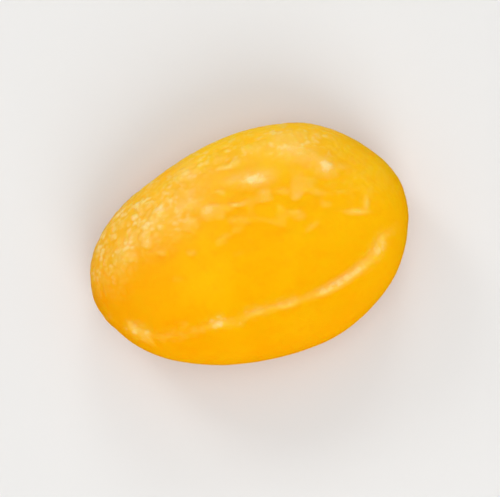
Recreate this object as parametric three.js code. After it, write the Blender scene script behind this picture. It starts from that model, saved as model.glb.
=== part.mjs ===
// One whole pitted dried apricot, lying as it rests. Millimetres, +Z up.
// X runs along its length, from the stem end to the tip, and Y across it. The origin is under its middle.
// It grew as one body: two soft halves that meet in a seam, flattened round the place where the stone was.
import * as THREE from "three";
import { mergeVertices } from "three/addons/utils/BufferGeometryUtils.js";

// Driving dimensions.
const LENGTH = 42;
const WIDTH = 29.1;
const THICKNESS = 14.4;

// The pillow. Its widest line runs at RIM_HEIGHT. CROWN and BELLY are how far it goes above and below that.
const RIM_HEIGHT = 6.2;
const CROWN = THICKNESS - RIM_HEIGHT;
const BELLY = 7.1;
// Fullness of its outline, its upper face and its underside: 1 is an ellipsoid's, and less is fuller.
const FULLNESS = { around: 0.9, above: 1, below: 0.76 };

// Waves that turn the oval outline into a grown one, and lift and lower the rim.
const PLAN_WAVES = [
  { turns: 1, share: 0.024, crest: 57 },
  { turns: 3, share: 0.026, crest: 46 },
  { turns: 5, share: 0.007, crest: 9 },
];
// The outline is a little fuller at one place, on the far side towards the tip.
const BULGE = { bearing: 64, spread: 22, share: 0.042 };
const RIM_WAVES = [
  { turns: 2, rise: 0.6, crest: 25 },
  { turns: 3, rise: 0.45, crest: 100 },
];

// The scar where the stem was and the stone came out, and the small point at the tip. Both are on the rim.
const STEM = { bearing: 184, lift: -20, width: 1.9, depth: 1.3 };
const STEM_COLLAR = { rise: 0.3, out: 3.0, width: 0.95 };
const TIP = { bearing: -7, lift: -12, width: 1.8, rise: 0.26 };

// The seam of the two halves. It leaves the stem scar, crosses these points of the upper face,
// and ends by the tip.
const SEAM_POINTS = [
  [-18.0, -2.2],
  [-16.9, -4.5],
  [-14.3, -6.2],
  [-9.6, -6.7],
  [-3.6, -7.2],
  [3.4, -7.4],
  [9.3, -6.9],
  [14.1, -5.2],
  [17.5, -2.7],
];
const SEAM = { depth: 0.22, innerWidth: 1.5, rimWidth: 0.4, round: 0.14 };
const LIP = { rise: 0.12, away: 0.8, innerWidth: 0.55, rimWidth: 2.1 };
const SEAM_STEPS = 90;
// Shares of the way from stem to tip: the seam opens, is faint over the rim, comes clear,
// and fades out by the tip.
const OPENS = [0, 0.04];
const FAINT = 0.2;
const COMES_CLEAR = [0.1, 0.17];
const FADES = [0.82, 0.96];
const FULL_LIP = { extra: 0.25, along: 0.68, spread: 0.13 }; // the lip stands higher on the tip's half
const GATHER = { share: 0.62, reach: 2.2 }; // draws the surface's points in to the seam, to keep it crisp

// Soft folds of the upper face: centre, half length, half width, height and turn in degrees.
const UPPER_FACE = [0, 0.3]; // they come in over this rise of the direction from the middle
const FOLDS = [
  { x: 3.0, y: 8.6, along: 2.6, across: 1.0, rise: 0.34, turn: -11 },
  { x: 12.2, y: 7.3, along: 1.5, across: 1.1, rise: 0.32, turn: -36 },
  { x: 9.0, y: 10.4, along: 3.4, across: 1.5, rise: 0.18, turn: -38 },
  { x: -5.6, y: 8.0, along: 1.7, across: 0.8, rise: 0.18, turn: -4 },
  { x: -10.6, y: 7.7, along: 2.0, across: 0.9, rise: 0.18, turn: 28 },
  { x: -15.2, y: 5.4, along: 2.4, across: 1.0, rise: 0.18, turn: 52 },
];

// Creases that run round the body, and the broad lumps under them. WANDER bends the creases.
const CREASE = { along: 5.2, across: 2.4, height: 0.34, middle: 0.3 };
const WANDER = { length: 5, amount: 1.9, from: 5 };
const SWELL = { length: 10, height: 0.34, from: 9 };
// The upper face is nearly smooth: it has the share ABOVE of the sides' creases, most along the back.
const ABOVE = 0.15;
const BACK = { y: [1, 9], bend: 0.3, share: 0.25 };
const EDGE = { out: [0.35, 0.9], share: 0.3 };
const LOWER_SIDE = [0.12, -0.35];
const FACE_MIDDLE = { steep: [0.8, 0.97], share: 0.25 };

// The underside: a hollow over the stone's place, pleated round its edge, and the flat spot it rests on.
const HOLLOW = { x: 1.4, y: 0.6, along: 5.4, across: 2.8, depth: 1.9, collar: 0.35, turn: 9 };
const HOLLOW_ROLL = { out: 1.6, width: 0.5 };
const PLEATS = { height: 0.3, turns: 2.6, outward: 0.5, from: 3, out: 1.1, width: 0.6 };
const UNDERSIDE = [0, -0.4];
const SETTLE = 0.35; // how softly the flat spot runs into the belly

const FACE_CUTS = 23; // each of the ball's 20 faces has the square of one more than this
const PROBE = 1e-3; // step on the unit ball that a surface direction is measured over
const MERGE_GAP = 1e-5;
const SCATTER = { x: 127.1, y: 311.7, z: 74.7, size: 43758.5453 };
const DEGREE = Math.PI / 180;

const bell = (x) => Math.exp(-x * x);

// 0 up to low and 1 from high, with a soft rise between them. It also falls, where high is the smaller.
const blend = ([low, high], x) => {
  const t = Math.min(1, Math.max(0, (x - low) / (high - low)));
  return t * t * (3 - 2 * t);
};

// A number from 0 to 1 for each whole-number point, scattered but always the same.
const scatter = (i, j, k) => {
  const v = Math.sin(i * SCATTER.x + j * SCATTER.y + k * SCATTER.z) * SCATTER.size;
  return v - Math.floor(v);
};

// Scattered numbers joined smoothly in space, from -1 to 1.
function noise(x, y, z) {
  const [i, j, k] = [Math.floor(x), Math.floor(y), Math.floor(z)];
  const [u, v, w] = [x - i, y - j, z - k].map((t) => t * t * t * (t * (6 * t - 15) + 10));
  const mix = (a, b, t) => a + (b - a) * t;
  const row = (b, c) => mix(scatter(i, j + b, k + c), scatter(i + 1, j + b, k + c), u);
  return 2 * mix(mix(row(0, 0), row(1, 0), v), mix(row(0, 1), row(1, 1), v), w) - 1;
}

const noiseAt = (p, { length, from }) => noise(p.x / length + from, p.y / length, p.z / length);

// A wave that goes round the rim a whole number of times.
const wave = (bearing, turns, crest) => Math.cos(turns * (bearing - crest * DEGREE));

// How far the rim stands out at a bearing, as a share of the plain oval.
function outline(bearing) {
  let reach = 1;
  for (const { turns, share, crest } of PLAN_WAVES) reach *= 1 + share * wave(bearing, turns, crest);
  return reach * (1 + BULGE.share * bell((bearing / DEGREE - BULGE.bearing) / BULGE.spread));
}

// The smooth pillow, for a direction from its middle.
function pillow(d) {
  const bearing = Math.atan2(d.y, d.x);
  const level = Math.hypot(d.x, d.y);
  const reach = level ** FULLNESS.around * outline(bearing);
  let z = RIM_HEIGHT + (d.z > 0 ? CROWN * d.z ** FULLNESS.above : -BELLY * (-d.z) ** FULLNESS.below);
  for (const { turns, rise, crest } of RIM_WAVES) z += rise * wave(bearing, turns, crest) * level ** 2;
  const x = (LENGTH / 2) * Math.cos(bearing) * reach;
  const y = (WIDTH / 2) * Math.sin(bearing) * reach;
  return new THREE.Vector3(x, y, z);
}

// The direction from the middle that comes out over a place in plan, on the upper face.
function over(x, y) {
  const bearing = Math.atan2(y / WIDTH, x / LENGTH);
  const level = ((2 * Math.hypot(x / LENGTH, y / WIDTH)) / outline(bearing)) ** (1 / FULLNESS.around);
  return new THREE.Vector3(Math.cos(bearing) * level, Math.sin(bearing) * level, Math.sqrt(1 - level ** 2));
}

// The direction of a mark, from its bearing round the body and its lift above the widest line.
function towards({ bearing, lift }) {
  const level = Math.cos(lift * DEGREE);
  return new THREE.Vector3(
    Math.cos(bearing * DEGREE) * level,
    Math.sin(bearing * DEGREE) * level,
    Math.sin(lift * DEGREE),
  );
}

// The pillow's outward direction.
function outward(d) {
  const side = new THREE.Vector3(-d.y, d.x, 0);
  if (side.length() < PROBE) return new THREE.Vector3(0, 0, Math.sign(d.z));
  side.normalize();
  const rise = new THREE.Vector3().crossVectors(d, side);
  const step = (way) => {
    const ahead = pillow(d.clone().addScaledVector(way, PROBE).normalize());
    return ahead.sub(pillow(d.clone().addScaledVector(way, -PROBE).normalize()));
  };
  return step(side).cross(step(rise)).normalize();
}

const SEAM_ROUTE = new THREE.CatmullRomCurve3(
  [towards(STEM), ...SEAM_POINTS.map(([x, y]) => over(x, y)), towards(TIP)],
  false,
  "catmullrom",
)
  .getPoints(SEAM_STEPS)
  .map((d) => d.normalize());
const SEAM_LINE = SEAM_ROUTE.map(pillow);

// Where a point of the pillow lies by the seam: the distance to it, over 0 on the rim's side,
// the share of the way along it from the stem to the tip, and the direction of the nearest place on it.
function bySeam(p, normal) {
  const span = new THREE.Line3();
  const foot = new THREE.Vector3();
  let near = { gap: Infinity };
  for (let i = 0; i < SEAM_STEPS; i++) {
    span.set(SEAM_LINE[i], SEAM_LINE[i + 1]);
    const share = span.closestPointToPointParameter(p, true);
    const gap = p.distanceTo(span.at(share, foot));
    if (gap < near.gap) near = { gap, i, share, foot: foot.clone() };
  }
  const { gap, i, share } = near;
  const forward = SEAM_LINE[i + 1].clone().sub(SEAM_LINE[i]);
  const side = p.clone().sub(near.foot).cross(forward).dot(normal);
  return {
    away: side < 0 ? -gap : gap,
    along: (i + share) / SEAM_STEPS,
    nearest: SEAM_ROUTE[i].clone().lerp(SEAM_ROUTE[i + 1], share),
  };
}

// Where the halves meet: a soft slope down on the inner side, then a steeper wall up to a lip.
function seamRelief({ away, along }) {
  const clear = FAINT + (1 - FAINT) * blend(COMES_CLEAR, along);
  const here = clear * blend(OPENS, along) * (1 - blend(FADES, along));
  const valleyWidth = away > 0 ? SEAM.rimWidth : SEAM.innerWidth;
  const valley = Math.exp((SEAM.round - Math.hypot(away, SEAM.round)) / valleyWidth);
  const rise = LIP.rise + FULL_LIP.extra * bell((along - FULL_LIP.along) / FULL_LIP.spread);
  const lip = rise * bell((away - LIP.away) / (away > LIP.away ? LIP.rimWidth : LIP.innerWidth));
  return here * (lip - SEAM.depth * valley);
}

function endRelief(p) {
  const fromStem = p.distanceTo(pillow(towards(STEM)));
  const fromTip = p.distanceTo(pillow(towards(TIP)));
  const collar = STEM_COLLAR.rise * bell((fromStem - STEM_COLLAR.out) / STEM_COLLAR.width);
  return collar - STEM.depth * bell(fromStem / STEM.width) + TIP.rise * bell(fromTip / TIP.width);
}

// How far out a point is in plan from the middle of an oval mark, as a share of the mark's size.
function fromMark(p, { x, y, along, across, turn }) {
  const [c, s] = [Math.cos(turn * DEGREE), Math.sin(turn * DEGREE)];
  const [dx, dy] = [p.x - x, p.y - y];
  return Math.hypot((dx * c + dy * s) / along, (dy * c - dx * s) / across);
}

function foldRelief(p, d) {
  return blend(UPPER_FACE, d.z) * FOLDS.reduce((sum, fold) => sum + fold.rise * bell(fromMark(p, fold)), 0);
}

// How creased the skin is: most along the back, round the stem end and below, least in the middle.
function creased(p, d) {
  const back = BACK.share + (1 - BACK.share) * blend(BACK.y, p.y + BACK.bend * Math.abs(p.x));
  const out = Math.hypot((2 * p.x) / LENGTH, (2 * p.y) / WIDTH);
  const above = ABOVE * back * (EDGE.share + (1 - EDGE.share) * blend(EDGE.out, out));
  return above + (1 - above) * blend(LOWER_SIDE, d.z);
}

function creaseRelief(p, d) {
  const bearing = Math.atan2(d.y, d.x);
  const [x, y] = [(Math.cos(bearing) * LENGTH) / 2, (Math.sin(bearing) * WIDTH) / 2];
  const height = (Math.atan2(d.z, Math.hypot(d.x, d.y)) * WIDTH) / 2;
  const wander = WANDER.amount * noiseAt(p, WANDER);
  const course = noise(x / CREASE.along, y / CREASE.along, height / CREASE.across + wander);
  const flank = 1 - (1 - FACE_MIDDLE.share) * blend(FACE_MIDDLE.steep, Math.abs(d.z));
  return CREASE.height * (Math.abs(course) - CREASE.middle) * creased(p, d) * flank;
}

function hollowRelief(p, d) {
  const out = fromMark(p, HOLLOW);
  const round = Math.atan2(p.y - HOLLOW.y, p.x - HOLLOW.x);
  const [x, y] = [Math.cos(round) * PLEATS.turns, Math.sin(round) * PLEATS.turns];
  const pleat = noise(x, y, out * PLEATS.outward + PLEATS.from) * bell((out - PLEATS.out) / PLEATS.width);
  const roll = HOLLOW.collar * bell((out - HOLLOW_ROLL.out) / HOLLOW_ROLL.width);
  return blend(UNDERSIDE, d.z) * (roll - HOLLOW.depth * bell(out) + PLEATS.height * pleat);
}

// The skin, for a direction from the middle.
function skin(d) {
  const course = bySeam(pillow(d), outward(d));
  d.lerp(course.nearest, GATHER.share * bell(course.away / GATHER.reach)).normalize();
  const [p, normal] = [pillow(d), outward(d)];
  const grown = seamRelief(bySeam(p, normal)) + endRelief(p) + SWELL.height * noiseAt(p, SWELL);
  return p.addScaledVector(normal, grown + foldRelief(p, d) + creaseRelief(p, d) + hollowRelief(p, d));
}

// The belly pressed flat at height 0, with a soft edge.
function settle(z) {
  if (z > SETTLE) return z;
  return z < -SETTLE ? 0 : (z + SETTLE) ** 2 / (4 * SETTLE);
}

// Brings the outer sizes to the driving dimensions, with the middle over the origin.
function fitToSize(body) {
  body.computeBoundingBox();
  const size = body.boundingBox.getSize(new THREE.Vector3());
  const middle = body.boundingBox.getCenter(new THREE.Vector3());
  body.translate(-middle.x, -middle.y, 0);
  body.scale(LENGTH / size.x, WIDTH / size.y, THICKNESS / size.z);
}

function bodyGeometry() {
  const ball = new THREE.IcosahedronGeometry(1, FACE_CUTS);
  ball.deleteAttribute("normal");
  ball.deleteAttribute("uv");
  const body = mergeVertices(ball, MERGE_GAP);
  const points = body.getAttribute("position");
  const d = new THREE.Vector3();
  for (let i = 0; i < points.count; i++) {
    const p = skin(d.fromBufferAttribute(points, i).normalize());
    points.setXYZ(i, p.x, p.y, settle(p.z));
  }
  fitToSize(body);
  body.computeVertexNormals();
  return body;
}

const flesh = new THREE.MeshStandardMaterial({
  color: new THREE.Color(0xfdb105),
  roughness: 0.42,
  metalness: 0,
});

const apricot = new THREE.Mesh(bodyGeometry(), flesh);
apricot.name = "apricot";

const part = new THREE.Group();
part.add(apricot);

export default part;
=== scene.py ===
import itertools
import math

import bmesh
import bpy
import numpy as np
from mathutils import Euler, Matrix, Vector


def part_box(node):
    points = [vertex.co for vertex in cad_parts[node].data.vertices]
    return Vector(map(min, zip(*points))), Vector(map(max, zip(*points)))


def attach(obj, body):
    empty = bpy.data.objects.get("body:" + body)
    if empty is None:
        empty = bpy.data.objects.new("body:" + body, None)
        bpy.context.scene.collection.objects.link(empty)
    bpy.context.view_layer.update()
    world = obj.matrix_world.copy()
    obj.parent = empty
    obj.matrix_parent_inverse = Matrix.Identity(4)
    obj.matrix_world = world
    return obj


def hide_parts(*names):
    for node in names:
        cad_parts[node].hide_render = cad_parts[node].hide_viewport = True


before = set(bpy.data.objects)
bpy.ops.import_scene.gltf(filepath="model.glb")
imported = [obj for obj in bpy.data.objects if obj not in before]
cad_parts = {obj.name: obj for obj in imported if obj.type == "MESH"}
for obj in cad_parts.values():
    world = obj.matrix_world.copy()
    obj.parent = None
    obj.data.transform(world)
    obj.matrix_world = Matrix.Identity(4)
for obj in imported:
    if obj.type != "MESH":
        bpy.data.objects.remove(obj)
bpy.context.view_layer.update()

MM = 0.001
BOX_LOW, BOX_HIGH = (np.array(corner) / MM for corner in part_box("apricot"))
LENGTH, WIDTH, THICKNESS = BOX_HIGH - BOX_LOW

# The pillow, as in the solid: its rim, how far it goes above and below, and how full it is.
RIM_HEIGHT = 6.2
CROWN = THICKNESS - RIM_HEIGHT
BELLY = 7.1
FULLNESS = {"around": 0.9, "above": 1, "below": 0.76}
# Each wave is its turns round the rim, its size and the bearing of its crest in degrees. The outline also
# swells a little at one bearing. Bearings are seen from above, from the tip towards the back.
PLAN_WAVES = [(1, 0.024, 57), (3, 0.026, 46), (5, 0.007, 9)]
BULGE = {"bearing": 64, "spread": 22, "share": 0.042}
RIM_WAVES = [(2, 0.6, 25), (3, 0.45, 100)]

# The stem scar and the tip, by bearing and lift in degrees.
STEM = {"bearing": 184, "lift": -20, "width": 1.9, "depth": 1.3}
STEM_COLLAR = {"rise": 0.3, "out": 3.0, "width": 0.95}
TIP = {"bearing": -7, "lift": -12, "width": 1.8, "rise": 0.26}

# The seam runs from the stem scar to the tip, across these points of the upper face.
SEAM_POINTS = [
    (-18.0, -2.2),
    (-16.9, -4.5),
    (-14.3, -6.2),
    (-9.6, -6.7),
    (-3.6, -7.2),
    (3.4, -7.4),
    (9.3, -6.9),
    (14.1, -5.2),
    (17.5, -2.7),
]
SEAM = {"depth": 0.22, "inner_width": 1.5, "rim_width": 0.4, "round": 0.1}
LIP = {"rise": 0.12, "away": 0.78, "inner_width": 0.5, "rim_width": 2.1}
SEAM_STEPS = 90
# Shares of the way from stem to tip: the seam opens, is faint over the rim, comes clear, and fades by the
# tip.
OPENS = (0, 0.04)
FAINT = 0.2
COMES_CLEAR = (0.1, 0.17)
FADES = (0.82, 0.96)
FULL_LIP = {"extra": 0.25, "along": 0.68, "spread": 0.13}  # the lip stands higher on the tip's half
WALL = {"away": 0.45, "width": 0.58, "share": 0.4}  # the glossy strip up to the lip, with painted highlight
SEAM_FROST_WIDTH = 1.1  # painted highlight speckles along the broken half of the lip
GATHER = {"share": 0.5, "reach": 2.2}  # draws the net's points in to the seam

# Soft folds of the upper face: x, y, half length, half width, height and turn in degrees. They come in over
# UPPER_FACE, a rise of the direction from the middle.
UPPER_FACE = (0, 0.3)
FOLDS = [
    (3.0, 8.6, 2.6, 1.0, 0.34, -11),
    (12.2, 7.3, 1.5, 1.1, 0.32, -36),
    (9.0, 10.4, 3.4, 1.5, 0.18, -38),
    (-5.6, 8.0, 1.7, 0.8, 0.18, -4),
    (-10.6, 7.7, 2.0, 0.9, 0.18, 28),
    (-15.2, 5.4, 2.4, 1.0, 0.18, 52),
]
FULL_FOLD = 0.3  # a fold this high carries as much gloss and painted highlight as any
# Smaller folds, which the solid leaves out.
FINE_FOLDS = [
    (4.0, 12.4, 1.3, 0.6, 0.16, -20),
    (8.6, 12.2, 3.2, 1.3, 0.15, -28),
    (14.2, 0.6, 1.5, 0.4, 0.2, -18),
    (15.8, 1.2, 1.0, 0.4, 0.18, 68),
    (-4.6, 12.3, 1.8, 0.9, 0.2, 10),
    (-2.5, 2.8, 0.8, 0.5, 0.08, 0),
    (7.1, 2.4, 0.9, 0.6, 0.11, -15),
    (8.3, 0.6, 1.2, 0.45, 0.08, 20),
    (-0.2, 4.2, 1.5, 0.6, 0.1, -16),
    (-1.6, 6.3, 1.3, 0.5, 0.11, -18),
    (6.2, 6.0, 1.4, 0.5, 0.09, -24),
    (10.2, 4.6, 1.5, 0.5, 0.1, -30),
]

# Creases round the body, bent by WANDER, the lumps under them and where they show. The upper face has the
# share ABOVE of the sides' creases, most along the back and towards the edge.
CREASE = {"along": 5.2, "across": 2.4, "height": 0.34, "middle": 0.3}
WANDER = {"length": 5, "amount": 1.9, "start": 5}
SWELL = {"length": 10, "height": 0.34, "start": 9}
ABOVE = 0.15
BACK = {"y": (1, 9), "bend": 0.3, "share": 0.25}
EDGE = {"out": (0.35, 0.9), "share": 0.3}
LOWER_SIDE = (0.12, -0.35)
FACE_MIDDLE = {"steep": (0.8, 0.97), "share": 0.25}  # of the creases, near the middle of either face

# The hollow and the flat spot underneath.
HOLLOW = {"x": 1.4, "y": 0.6, "along": 5.4, "across": 2.8, "turn": 9, "depth": 1.9, "collar": 0.35}
HOLLOW_ROLL = {"out": 1.6, "width": 0.5}
PLEATS = {"height": 0.3, "turns": 2.6, "outward": 0.5, "start": 3, "out": 1.1, "width": 0.6}
UNDERSIDE = (0, -0.4)
SETTLE = 0.35  # half the height over which the flat spot's edge is soft

# What else the solid leaves out: fine creases between the large ones, and a grain of small round granules.
FINE_CREASE = {"length": 1.6, "height": 0.15, "middle": 0.3, "start": 21}
FINE_WANDER = {"length": 2.4, "amount": 0.6, "start": 33}
GRAIN = {"length": 0.8, "height": 0.085, "reach": 0.72, "start": 47}
FINE_GRAIN = {"length": 0.5, "height": 0.03, "reach": 0.72, "start": 71}
SMOOTH_GRAIN = 0.08  # its share where the skin is smooth
LATTICE_TURN = (0.7, 0.5, 0.9)  # turns the fine patterns, in radians, so that none lines up with an axis
# The seam's lip is broken into short pieces on the stem's half, and whole from there.
UNEVEN = {"length": 2.3, "from_to": (-0.15, 0.35), "least": 0.3, "start": 83, "until": (0.7, 0.6)}
# Short soft streaks over the upper face, longer than wide, turned by so many degrees. They come in over
# STREAK_BACK, a span of y, and have a small share in front of it.
STREAK = {"length": 1.9, "across": 1.25, "height": 0.13, "turn": -18, "start": 61, "bend": 0.6}
STREAK_PALE = 0.8  # as a share of a fold's painted highlight
STREAK_BACK = (-2, 6)
STREAK_FRONT = 0.06
STREAK_RIM = (0.92, 0.7)  # they fade over this last way out
# Places on the upper face where the grain is coarse and carries painted highlight: bearing and half spread
# in degrees, weight, and how far out from the middle it starts.
GRAIN_PLACES = [
    (132, 24, 1.0, 0.3),
    (154, 20, 0.9, 0.62),
    (100, 26, 0.65, 0.7),
    (62, 28, 0.65, 0.7),
    (28, 26, 0.25, 0.3),
]
GRAIN_FULL = 0.85  # how far out it is at its most
GRAIN_BELOW = 0.6  # on the lower sides and underneath
FROST_BELOW = 0.2

BALL_CUTS = 96  # each of the ball's 20 faces has the square of this
PROBE = 1e-3  # step on the unit ball that a surface direction is measured over
TINY = 1e-6
MERGE_DIGITS = 6
# Numbers without a pattern, which the scattered numbers are made from.
SCATTER = np.array([127.1, 311.7, 74.7])
SCATTER_SIZE = 43758.5453
SPREAD_SHIFT = 57.3  # far enough for a grain's three coordinates to be unlike
LATTICE = np.array(Euler(LATTICE_TURN).to_matrix())


def bell(x):
    return np.exp(-x * x)


# 0 up to low and 1 from high, with a soft rise between them. It also falls, where high is the smaller.
def blend(span, x):
    low, high = span
    t = np.clip((x - low) / (high - low), 0, 1)
    return t * t * (3 - 2 * t)


def unit(v):
    return v / np.linalg.norm(v, axis=-1, keepdims=True)


# A number from 0 to 1 for each whole-number point, scattered but always the same.
def scatter(cell):
    v = np.sin(cell @ SCATTER) * SCATTER_SIZE
    return v - np.floor(v)


# Scattered numbers joined smoothly in space, from -1 to 1.
def noise(place):
    cell = np.floor(place)
    t = place - cell
    t = t**3 * (t * (6 * t - 15) + 10)
    total = 0
    for corner in itertools.product((0, 1), repeat=3):
        share = np.prod(np.where(corner, t, 1 - t), axis=-1)
        total = total + share * scatter(cell + corner)
    return 2 * total - 1


def noise_at(p, kind):
    return noise(p / kind["length"] + (kind["start"], 0, 0))


# Round grains packed in space: 1 at the middle of each, down to 0 at the reach and beyond.
def granules(place, reach):
    cell = np.floor(place)
    nearest = np.full(len(place), np.inf)
    for step in itertools.product((-1, 0, 1), repeat=3):
        there = cell + step
        middle = there + np.stack([scatter(there + shift) for shift in np.eye(3) * SPREAD_SHIFT], -1)
        nearest = np.minimum(nearest, np.sum((place - middle) ** 2, axis=-1))
    return np.maximum(1 - nearest / reach**2, 0)


def wave(bearing, turns, crest):
    return np.cos(turns * (bearing - math.radians(crest)))


def outline(bearing):
    reach = 1
    for turns, share, crest in PLAN_WAVES:
        reach = reach * (1 + share * wave(bearing, turns, crest))
    return reach * (1 + BULGE["share"] * bell((np.degrees(bearing) - BULGE["bearing"]) / BULGE["spread"]))


# The smooth pillow, for directions from its middle.
def pillow(d):
    x, y, z = d.T
    bearing = np.arctan2(y, x)
    level = np.hypot(x, y)
    reach = level ** FULLNESS["around"] * outline(bearing)
    above = CROWN * np.abs(z) ** FULLNESS["above"]
    below = -BELLY * np.abs(z) ** FULLNESS["below"]
    height = RIM_HEIGHT + np.where(z > 0, above, below)
    for turns, rise, crest in RIM_WAVES:
        height = height + rise * wave(bearing, turns, crest) * level**2
    return np.stack([LENGTH / 2 * np.cos(bearing) * reach, WIDTH / 2 * np.sin(bearing) * reach, height], -1)


# The direction from the middle that comes out over a place in plan, on the upper face.
def over(x, y):
    bearing = math.atan2(y / WIDTH, x / LENGTH)
    level = (2 * math.hypot(x / LENGTH, y / WIDTH) / outline(bearing)) ** (1 / FULLNESS["around"])
    return [math.cos(bearing) * level, math.sin(bearing) * level, math.sqrt(1 - level**2)]


def towards(mark):
    bearing, lift = math.radians(mark["bearing"]), math.radians(mark["lift"])
    return [math.cos(bearing) * math.cos(lift), math.sin(bearing) * math.cos(lift), math.sin(lift)]


def outward(d):
    side = np.stack([-d[:, 1], d[:, 0], np.zeros(len(d))], -1)
    pole = np.linalg.norm(side, axis=1) < PROBE
    side[pole] = (1, 0, 0)
    side = unit(side)
    rise = np.cross(d, side)
    across = pillow(unit(d + PROBE * side)) - pillow(unit(d - PROBE * side))
    up = pillow(unit(d + PROBE * rise)) - pillow(unit(d - PROBE * rise))
    normal = unit(np.cross(across, up))
    normal[pole] = np.sign(d[pole, 2])[:, None] * (0, 0, 1)
    return normal


# A smooth curve through all the points, in even steps.
def smooth_route(points, steps):
    knots = np.array([2 * points[0] - points[1], *points, 2 * points[-1] - points[-2]])
    place = np.linspace(0, len(points) - 1, steps + 1)
    first = np.minimum(place.astype(int), len(points) - 2)
    t = (place - first)[:, None]
    a, b, c, d = (knots[first + i] for i in range(4))
    return (2 * b + (c - a) * t + (2 * a - 5 * b + 4 * c - d) * t**2 + (3 * b - a - 3 * c + d) * t**3) / 2


SEAM_ROUTE = unit(
    smooth_route(np.array([towards(STEM), *(over(x, y) for x, y in SEAM_POINTS), towards(TIP)]), SEAM_STEPS)
)
SEAM_LINE = pillow(SEAM_ROUTE)


# Where points of the pillow lie by the seam: the distance to it, over 0 on the rim's side, the share of the
# way along it from the stem to the tip, and the direction of the nearest place on it.
def by_seam(p, normal):
    gap = np.full(len(p), np.inf)
    place = np.zeros(len(p))
    for i in range(SEAM_STEPS):
        start, forward = SEAM_LINE[i], SEAM_LINE[i + 1] - SEAM_LINE[i]
        share = np.clip((p - start) @ forward / (forward @ forward), 0, 1)
        distance = np.linalg.norm(p - start - share[:, None] * forward, axis=1)
        nearer = distance < gap
        gap[nearer] = distance[nearer]
        place[nearer] = (i + share)[nearer]
    first = np.minimum(place.astype(int), SEAM_STEPS - 1)
    share = (place - first)[:, None]
    foot = SEAM_LINE[first] * (1 - share) + SEAM_LINE[first + 1] * share
    forward = SEAM_LINE[first + 1] - SEAM_LINE[first]
    side = np.einsum("ij,ij->i", np.cross(p - foot, forward), normal)
    nearest = SEAM_ROUTE[first] * (1 - share) + SEAM_ROUTE[first + 1] * share
    return np.where(side < 0, -gap, gap), place / SEAM_STEPS, nearest


def seam_presence(along):
    clear = FAINT + (1 - FAINT) * blend(COMES_CLEAR, along)
    return clear * blend(OPENS, along) * (1 - blend(FADES, along))


def seam_relief(away, along):
    valley_width = np.where(away > 0, SEAM["rim_width"], SEAM["inner_width"])
    valley = np.exp((SEAM["round"] - np.hypot(away, SEAM["round"])) / valley_width)
    lip_width = np.where(away > LIP["away"], LIP["rim_width"], LIP["inner_width"])
    lip_rise = LIP["rise"] + FULL_LIP["extra"] * full_lip(along)
    return lip_rise * bell((away - LIP["away"]) / lip_width) - SEAM["depth"] * valley


def full_lip(along):
    return bell((along - FULL_LIP["along"]) / FULL_LIP["spread"])


def distance_to(p, mark):
    return np.linalg.norm(p - pillow(np.array([towards(mark)])), axis=1)


def end_relief(p):
    from_stem, from_tip = distance_to(p, STEM), distance_to(p, TIP)
    collar = STEM_COLLAR["rise"] * bell((from_stem - STEM_COLLAR["out"]) / STEM_COLLAR["width"])
    tip = TIP["rise"] * bell(from_tip / TIP["width"])
    return collar - STEM["depth"] * bell(from_stem / STEM["width"]) + tip


# How far out points are in plan from the middle of an oval mark, as a share of the mark's size.
def from_mark(p, x, y, along, across, turn):
    c, s = math.cos(math.radians(turn)), math.sin(math.radians(turn))
    dx, dy = p[:, 0] - x, p[:, 1] - y
    return np.hypot((dx * c + dy * s) / along, (dy * c - dx * s) / across)


# The folds' relief, and how much of a fold each point lies on.
def fold_relief(p, d):
    relief, share = 0, 0
    for x, y, along, across, rise, turn in FOLDS + FINE_FOLDS:
        here = blend(UPPER_FACE, d[:, 2]) * bell(from_mark(p, x, y, along, across, turn))
        relief = relief + rise * here
        share = np.maximum(share, np.minimum(rise / FULL_FOLD, 1) * here)
    return relief, share


# How creased the skin is: most along the back, round the stem end and below, least in the middle.
def creased(p, d):
    back = BACK["share"] + (1 - BACK["share"]) * blend(BACK["y"], p[:, 1] + BACK["bend"] * np.abs(p[:, 0]))
    above = ABOVE * back * (EDGE["share"] + (1 - EDGE["share"]) * blend(EDGE["out"], out_in_plan(p)))
    return above + (1 - above) * blend(LOWER_SIDE, d[:, 2])


def out_in_plan(p):
    return np.hypot(2 * p[:, 0] / LENGTH, 2 * p[:, 1] / WIDTH)


def crease_relief(p, d):
    x, y, z = d.T
    level = np.maximum(np.hypot(x, y), TINY)
    height = np.arctan2(z, level) * WIDTH / 2 / CREASE["across"] + WANDER["amount"] * noise_at(p, WANDER)
    round_x, round_y = x / level * LENGTH / 2 / CREASE["along"], y / level * WIDTH / 2 / CREASE["along"]
    course = noise(np.stack([round_x, round_y, height], -1))
    flank = 1 - (1 - FACE_MIDDLE["share"]) * blend(FACE_MIDDLE["steep"], np.abs(z))
    return CREASE["height"] * (np.abs(course) - CREASE["middle"]) * flank


def hollow_relief(p, d):
    out = from_mark(p, *(HOLLOW[key] for key in ("x", "y", "along", "across", "turn")))
    bearing = np.arctan2(p[:, 1] - HOLLOW["y"], p[:, 0] - HOLLOW["x"])
    x, y = np.cos(bearing) * PLEATS["turns"], np.sin(bearing) * PLEATS["turns"]
    pleat = noise(np.stack([x, y, out * PLEATS["outward"] + PLEATS["start"]], -1))
    pleat = pleat * bell((out - PLEATS["out"]) / PLEATS["width"])
    roll = HOLLOW["collar"] * bell((out - HOLLOW_ROLL["out"]) / HOLLOW_ROLL["width"])
    return blend(UNDERSIDE, d[:, 2]) * (roll - HOLLOW["depth"] * bell(out) + PLEATS["height"] * pleat)
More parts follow.
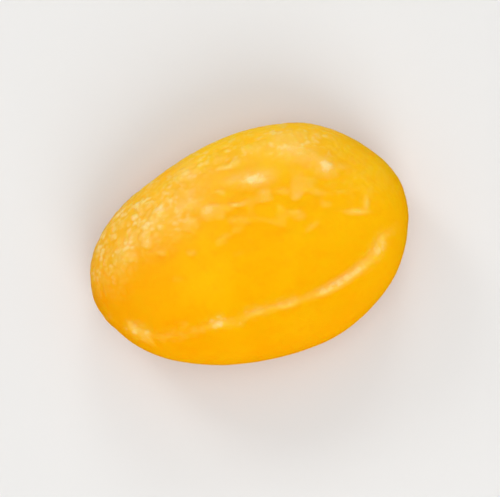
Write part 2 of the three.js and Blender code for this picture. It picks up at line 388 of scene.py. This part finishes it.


# How coarse the grain is, and how much painted highlight it carries, from 0 to 1.
def grained(p, d):
    bearing = np.arctan2(d[:, 1], d[:, 0])
    above = np.zeros(len(p))
    for place, spread, weight, start in GRAIN_PLACES:
        turned = np.angle(np.exp(1j * (bearing - math.radians(place))))
        here = weight * bell(turned / math.radians(spread)) * blend((start, GRAIN_FULL), out_in_plan(p))
        above = np.maximum(above, here)
    below = blend(LOWER_SIDE, d[:, 2])
    coarse = SMOOTH_GRAIN + (1 - SMOOTH_GRAIN) * np.maximum(above, GRAIN_BELOW * below)
    return coarse, above * (1 - below) + FROST_BELOW * below


# The fine creases and the grain, in a place bent by three shifted copies of one noise.
def fine_relief(p):
    bent = p + FINE_WANDER["amount"] * np.stack(
        [noise_at(p, FINE_WANDER), noise_at(p + WIDTH, FINE_WANDER), noise_at(p + LENGTH, FINE_WANDER)], -1
    )
    bent = bent @ LATTICE
    fine = FINE_CREASE["height"] * (np.abs(noise_at(bent, FINE_CREASE)) - FINE_CREASE["middle"])
    grain = 0
    for size in (GRAIN, FINE_GRAIN):
        grain = grain + size["height"] * granules(bent / size["length"] + size["start"], size["reach"])
    return fine, grain


def streak_relief(p, d):
    c, s = math.cos(math.radians(STREAK["turn"])), math.sin(math.radians(STREAK["turn"]))
    along = (p[:, 0] * c + p[:, 1] * s) / STREAK["length"] + STREAK["start"]
    across = (p[:, 1] * c - p[:, 0] * s) / STREAK["across"]
    bend = STREAK["bend"] * noise_at(p, FINE_WANDER)
    streak = noise(np.stack([along, across + bend, 0 * along], -1))
    where = STREAK_FRONT + (1 - STREAK_FRONT) * blend(STREAK_BACK, p[:, 1])
    where = where * blend(STREAK_RIM, out_in_plan(p)) * blend(UPPER_FACE, d[:, 2])
    return STREAK["height"] * np.maximum(streak, 0) ** 2 * where


# The belly pressed flat at height 0, with a soft edge.
def settle(z):
    soft = np.maximum(z + SETTLE, 0) ** 2 / (4 * SETTLE)
    return np.where(z > SETTLE, z, soft)


# Directions all round, and the triangles between them: an icosahedron's faces, each cut into a net.
def ball():
    seed = bmesh.new()
    bmesh.ops.create_icosphere(seed, subdivisions=1, radius=1)
    corners = np.array([v.co for v in seed.verts])
    faces = np.array([[v.index for v in f.verts] for f in seed.faces])
    seed.free()
    steps = [(i, j) for i in range(BALL_CUTS + 1) for j in range(BALL_CUTS + 1 - i)]
    number = {step: k for k, step in enumerate(steps)}
    net = [
        [number[i, j], number[i + 1, j], number[i, j + 1]]
        for i, j in steps
        if i + j < BALL_CUTS
    ]
    net += [
        [number[i + 1, j], number[i + 1, j + 1], number[i, j + 1]]
        for i, j in steps
        if i + j < BALL_CUTS - 1
    ]
    share = np.array(steps) / BALL_CUTS
    a, b, c = (corners[faces[:, k]][:, None] for k in range(3))
    points = (a + (b - a) * share[None, :, :1] + (c - a) * share[None, :, 1:]).reshape(-1, 3)
    triangles = (np.array(net)[None] + np.arange(len(faces))[:, None, None] * len(steps)).reshape(-1, 3)
    _, first, place = np.unique(points.round(MERGE_DIGITS), axis=0, return_index=True, return_inverse=True)
    return unit(points[first]), place.reshape(-1)[triangles]


# The skin's points in millimetres, and what the flesh's colours need to know at each of them.
def skin(d):
    away, _, nearest = by_seam(pillow(d), outward(d))
    pull = (GATHER["share"] * bell(away / GATHER["reach"]))[:, None]
    d = unit(d * (1 - pull) + nearest * pull)
    p, normal = pillow(d), outward(d)
    away, along, _ = by_seam(p, normal)
    how_creased = creased(p, d)
    how_grained, frost = grained(p, d)
    crease = crease_relief(p, d) * how_creased
    fine, grain = fine_relief(p)
    streak = streak_relief(p, d)
    folds, on_fold = fold_relief(p, d)
    clear = seam_presence(along)
    pieces = UNEVEN["least"] + (1 - UNEVEN["least"]) * blend(UNEVEN["from_to"], noise_at(p, UNEVEN))
    clear = clear * (1 + (pieces - 1) * blend(UNEVEN["until"], along))
    relief = clear * seam_relief(away, along) + end_relief(p) + folds + hollow_relief(p, d)
    relief = relief + SWELL["height"] * noise_at(p, SWELL)
    relief = relief + crease + fine * how_creased + grain * how_grained + streak
    points = p + normal * relief[:, None]
    points[:, 2] = settle(points[:, 2])
    low, high = points.min(0), points.max(0)
    scale = (BOX_HIGH - BOX_LOW) / (high - low)
    points = (points - low) * scale + BOX_LOW
    # Painted highlight: the pale strip up to the lip, the speckles along its broken half, the folds and the
    # streaks.
    on_lip = clear * bell((away - WALL["away"]) / WALL["width"])
    on_lip = on_lip * (WALL["share"] + (1 - WALL["share"]) * full_lip(along) ** 2)
    on_streak = STREAK_PALE * streak / STREAK["height"]
    by_lip = clear * bell((away - WALL["away"]) / SEAM_FROST_WIDTH) * (1 - full_lip(along))
    facts = {
        # The crease relief also sets painted shade in the flesh's colour.
        "crease": crease + fine * how_creased,
        "grain": grain / (GRAIN["height"] + FINE_GRAIN["height"]),
        "frost": np.maximum(frost, by_lip),
        "wet": np.maximum(np.maximum(on_fold, on_lip), on_streak),
        "scar": bell(distance_to(p, STEM) / STEM["width"]),
    }
    return points, facts


def make_apricot():
    directions, triangles = ball()
    points, facts = skin(directions)
    mesh = bpy.data.meshes.new("apricot_skin")
    mesh.from_pydata((points * MM).tolist(), [], triangles.tolist())
    for name, values in facts.items():
        mesh.attributes.new(name, "FLOAT", "POINT").data.foreach_set("value", values.astype(np.float32))
    mesh.shade_smooth()
    piece = bpy.data.objects.new("apricot_skin", mesh)
    bpy.context.scene.collection.objects.link(piece)
    return piece


# Adds a node. Each entry of sockets is a value to set or another node's output to link.
def add(tree, kind, sockets=None, **settings):
    made = tree.nodes.new(kind)
    for name, value in settings.items():
        setattr(made, name, value)
    for name, value in (sockets or {}).items():
        if isinstance(value, bpy.types.NodeSocket):
            tree.links.new(value, made.inputs[name])
        else:
            made.inputs[name].default_value = value
    return made


def new_material(name):
    material = bpy.data.materials.new(name)
    material.use_nodes = True
    tree = material.node_tree
    tree.nodes.clear()
    return material, tree


def remap(tree, value, span, to=(0.0, 1.0)):
    sockets = {"Value": value, "From Min": span[0], "From Max": span[1], "To Min": to[0], "To Max": to[1]}
    return add(tree, "ShaderNodeMapRange", sockets).outputs["Result"]


MIX_A, MIX_B = 6, 7  # a colour mix node's own sockets, among those for other types
MIX_COLOUR = 2


def mix_colour(tree, share, a, b):
    sockets = {"Factor": share, MIX_A: a, MIX_B: b}
    return add(tree, "ShaderNodeMix", sockets, data_type="RGBA").outputs[MIX_COLOUR]


def math_node(tree, a, b, operation):
    return add(tree, "ShaderNodeMath", {0: a, 1: b}, operation=operation).outputs["Value"]


# How far each place lies along a direction.
def reach_node(tree, place, way):
    product = add(tree, "ShaderNodeVectorMath", {0: place, 1: way}, operation="DOT_PRODUCT")
    return product.outputs["Value"]


def bump_node(tree, height, distance, strength, **sockets):
    sockets = {"Height": height, "Distance": distance * MM, "Strength": strength, **sockets}
    return add(tree, "ShaderNodeBump", sockets).outputs["Normal"]


def noise_node(tree, place, length, detail=2.0, roughness=0.5):
    sockets = {"Vector": place, "Scale": 1 / length, "Detail": detail, "Roughness": roughness}
    return add(tree, "ShaderNodeTexNoise", sockets).outputs["Fac"]


# Colours are linear.
FLESH = (1.0, 0.47, 0.001, 1)
FLESH_YELLOW = (1.0, 0.54, 0.003, 1)
FLESH_DEEP = (0.98, 0.33, 0.001, 1)
# The deep colour is a deeper flesh tone, and also painted shade underneath and in the creases.
FLESH_PALE = (1.0, 0.61, 0.15, 1)
FLESH_BRIGHT = (1.0, 0.72, 0.34, 1)
SCAR_BROWN = (0.30, 0.10, 0.012, 1)
# The flesh yellows towards the tip and deepens towards the stem end. Painted shade darkens it downwards,
# more on the seam's side than on the back.
TIP_WAY = (1, 0, 0)
STEM_WAY = (-1, 0.2, 0)
SHADE_WAY = (0, 0.25, 1)
# Patterns in the flesh: length in millimetres, detail and roughness.
BROAD = (9, 3, 0.5)
MOTTLE = (1.6, 4, 0.6)
PORE = (0.42, 3, 0.6)
CLUSTER = (1.7, 2, 0.5)
# The colours in the order that they are laid on the flesh: what each follows, the span of it that the
# colour comes in over, the most of it, and the colour.
COATS = [
    ("broad", (0.38, 0.64), 1, FLESH_YELLOW),
    ("tipward", (4, 20), 0.7, FLESH_YELLOW),
    ("stemward", (4, 21), 0.65, FLESH_DEEP),
    # Painted shade: the flesh is darker downwards, more on the seam's side.
    ("upward", (12.5, 2), 0.8, FLESH_DEEP),
    ("mottle", (0.5, 0.75), 0.25, FLESH_DEEP),
    # Painted shade in the creases.
    ("crease", (-0.01, -0.14), 0.75, FLESH_DEEP),
    # Painted highlight: yellow and pale on the grain places, along the lip, on the folds and the streaks.
    ("frost", (0.1, 0.8), 0.45, FLESH_YELLOW),
    ("frosted", (0.05, 1), 0.55, FLESH_PALE),
    ("patchy", (0.05, 0.9), 0.9, FLESH_PALE),
    ("scar", (0.35, 0.95), 0.85, SCAR_BROWN),
    # Painted highlight: bright glints in clusters and on the wet patches.
    ("fleck", (0.2, 0.9), 0.7, FLESH_BRIGHT),
    ("patchy", (0.5, 0.95), 0.8, FLESH_BRIGHT),
]
# The painted highlight's speckles sit on the grain, in clusters, and on the wet places it is patchy.
SPECKLE = {"span": (0.2, 0.9), "to": (0.3, 1)}
IN_CLUSTER = (0.38, 0.62)
PATCH = {"span": (0.35, 0.6), "to": (0.55, 1)}
DRY_ROUGHNESS = {"span": (0.3, 0.7), "to": (0.42, 0.55)}  # over the pores
WET_ROUGHNESS = 0.25
FROST_GLOSS = {"span": (0.2, 1), "to": (0, 0.6)}
MOTTLE_BUMP = {"distance": 0.05, "strength": 0.6}
PORE_BUMP = {"distance": 0.02, "strength": 0.5}
FLESH_IOR = 1.42
SCATTER_REACH = (2.8, 1.3, 0.45)  # how far red, green and blue light spread in the flesh, in millimetres


def flesh_material():
    material, tree = new_material("apricot_flesh")
    place = add(tree, "ShaderNodeTexCoord").outputs["Object"]
    scaled = add(tree, "ShaderNodeVectorMath", {0: place, "Scale": 1 / MM}, operation="SCALE")
    place = scaled.outputs["Vector"]
    follows = {
        name: add(tree, "ShaderNodeAttribute", attribute_name=name).outputs["Fac"]
        for name in ("crease", "grain", "frost", "wet", "scar")
    }
    mottle = noise_node(tree, place, *MOTTLE)
    pore = noise_node(tree, place, *PORE)
    # Masks of painted highlight: speckles on the grain places, patches on the wet places, and clustered
    # flecks.
    speckle = remap(tree, follows["grain"], **SPECKLE)
    frosted = math_node(tree, speckle, follows["frost"], "MULTIPLY")
    patchy = math_node(tree, remap(tree, mottle, **PATCH), follows["wet"], "MULTIPLY")
    cluster = remap(tree, noise_node(tree, place, *CLUSTER), IN_CLUSTER)
    follows.update(
        broad=noise_node(tree, place, *BROAD),
        tipward=reach_node(tree, place, TIP_WAY),
        stemward=reach_node(tree, place, STEM_WAY),
        upward=reach_node(tree, place, SHADE_WAY),
        mottle=mottle,
        frosted=frosted,
        patchy=patchy,
        fleck=math_node(tree, cluster, frosted, "MULTIPLY"),
    )
    colour = FLESH
    for name, span, most, coat in COATS:
        colour = mix_colour(tree, remap(tree, follows[name], span, (0, most)), colour, coat)

    dry = remap(tree, pore, **DRY_ROUGHNESS)
    glossy = math_node(tree, remap(tree, frosted, **FROST_GLOSS), patchy, "MAXIMUM")
    rough = add(tree, "ShaderNodeMix", {"Factor": glossy, "A": dry, "B": WET_ROUGHNESS}).outputs["Result"]
    bump = bump_node(tree, mottle, **MOTTLE_BUMP)
    bump = bump_node(tree, pore, **PORE_BUMP, Normal=bump)
    shader = add(
        tree,
        "ShaderNodeBsdfPrincipled",
        {
            "Base Color": colour,
            "Roughness": rough,
            "Normal": bump,
            "IOR": FLESH_IOR,
            "Subsurface Weight": 1.0,
            "Subsurface Radius": SCATTER_REACH,
            "Subsurface Scale": MM,
        },
    )
    add(tree, "ShaderNodeOutputMaterial", {"Surface": shader.outputs["BSDF"]})
    return material


# The floor is level to FLOOR_REACH, in metres, and curves up from there, all round.
FLOOR_REACH = 0.55
CURVE_RADIUS = 0.6
CURVE_RISE = math.radians(62)
CURVE_RINGS = 16
ROUND_STEPS = 96
FLOOR_DROP = 0.02 * MM
FLOOR_PALE = (0.78, 0.777, 0.77, 1)
FLOOR_SHADE = (0.74, 0.737, 0.73, 1)
FLOOR_CLOUD = 0.3
FLOOR_ROUGHNESS = 0.9


def make_floor():
    mesh = bpy.data.meshes.new("floor")
    rises = [CURVE_RISE * i / CURVE_RINGS for i in range(CURVE_RINGS + 1)]
    rings = [(FLOOR_REACH + CURVE_RADIUS * math.sin(t), CURVE_RADIUS * (1 - math.cos(t))) for t in rises]
    turns = [math.tau * i / ROUND_STEPS for i in range(ROUND_STEPS)]
    points = [(r * math.cos(t), r * math.sin(t), z - FLOOR_DROP) for r, z in rings for t in turns]
    faces = [tuple(range(ROUND_STEPS))]
    for i, j in itertools.product(range(CURVE_RINGS), range(ROUND_STEPS)):
        near, beside = i * ROUND_STEPS, (j + 1) % ROUND_STEPS
        faces.append((near + j, near + ROUND_STEPS + j, near + ROUND_STEPS + beside, near + beside))
    mesh.from_pydata(points, [], faces)
    mesh.shade_smooth()
    floor = bpy.data.objects.new("floor", mesh)
    bpy.context.scene.collection.objects.link(floor)
    material, tree = new_material("floor_paint")
    place = add(tree, "ShaderNodeTexCoord").outputs["Object"]
    paint = mix_colour(tree, noise_node(tree, place, FLOOR_CLOUD), FLOOR_SHADE, FLOOR_PALE)
    shader = add(tree, "ShaderNodeBsdfPrincipled", {"Base Color": paint, "Roughness": FLOOR_ROUGHNESS})
    add(tree, "ShaderNodeOutputMaterial", {"Surface": shader.outputs["BSDF"]})
    mesh.materials.append(material)
    floor.visible_glossy = False


# The camera looks straight down, turned so that the fruit's length rises to the right as seen.
TURN = math.radians(18.5)
LENS = 200
SENSOR = 36
FILLS = 0.66  # the fruit's length as a share of the picture's width
VIEW_WIDTH = LENGTH * MM / FILLS
IMAGE_RIGHT = np.array([math.cos(TURN), -math.sin(TURN), 0])
IMAGE_UP = np.array([math.sin(TURN), math.cos(TURN), 0])


def make_camera():
    data = bpy.data.cameras.new("camera")
    data.lens = LENS
    data.sensor_width = SENSOR
    camera = bpy.data.objects.new("camera", data)
    bpy.context.scene.collection.objects.link(camera)
    camera.location = (0, 0, THICKNESS * MM / 2 + VIEW_WIDTH * LENS / SENSOR)
    camera.rotation_euler = (0, 0, -TURN)
    bpy.context.scene.camera = camera


# Lights: name, the side of the picture that it stands on, right and up, its height above the floor in
# degrees, its distance and width in metres, its power in watts, and whether it shows as a gloss.
LIGHTS = [
    ("key", -0.7, 0.75, 28, 0.6, 0.2, 0.12, True),
    ("window", 0.05, 1.0, 28, 0.6, 0.2, 0.085, True),
    ("fill", 0.3, -0.8, 38, 0.7, 0.5, 2.17, False),
    ("overhead", 0.0, 0.05, 88, 0.8, 0.6, 0.97, False),
]
GLOSS_SPREAD = math.radians(70)  # the lights that show as a gloss don't shine straight down on the floor
SKY = (1.0, 0.99, 0.975, 1)
SKY_STRENGTH = 0.6


def make_light(name, right, up, lift, away, size, power, gloss):
    data = bpy.data.lights.new(name, "AREA")
    data.shape = "DISK"
    data.size = size
    data.energy = power
    light = bpy.data.objects.new(name, data)
    bpy.context.scene.collection.objects.link(light)
    level = unit(IMAGE_RIGHT * right + IMAGE_UP * up)
    lift = math.radians(lift)
    toward = level * math.cos(lift) + np.array([0, 0, math.sin(lift)])
    light.location = toward * away
    light.rotation_euler = light.location.to_track_quat("Z", "Y").to_euler()
    light.visible_glossy = gloss
    if gloss:
        data.spread = GLOSS_SPREAD
    light.visible_camera = False


def make_sky():
    world = bpy.data.worlds.new("sky")
    bpy.context.scene.world = world
    world.use_nodes = True
    background = world.node_tree.nodes["Background"]
    background.inputs["Color"].default_value = SKY
    background.inputs["Strength"].default_value = SKY_STRENGTH
    world.cycles_visibility.glossy = False
    bpy.context.scene.view_settings.view_transform = "Standard"


make_camera()
make_sky()
for light in LIGHTS:
    make_light(*light)
make_floor()

apricot = make_apricot()
apricot.data.materials.append(flesh_material())
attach(apricot, "root")
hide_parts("apricot")
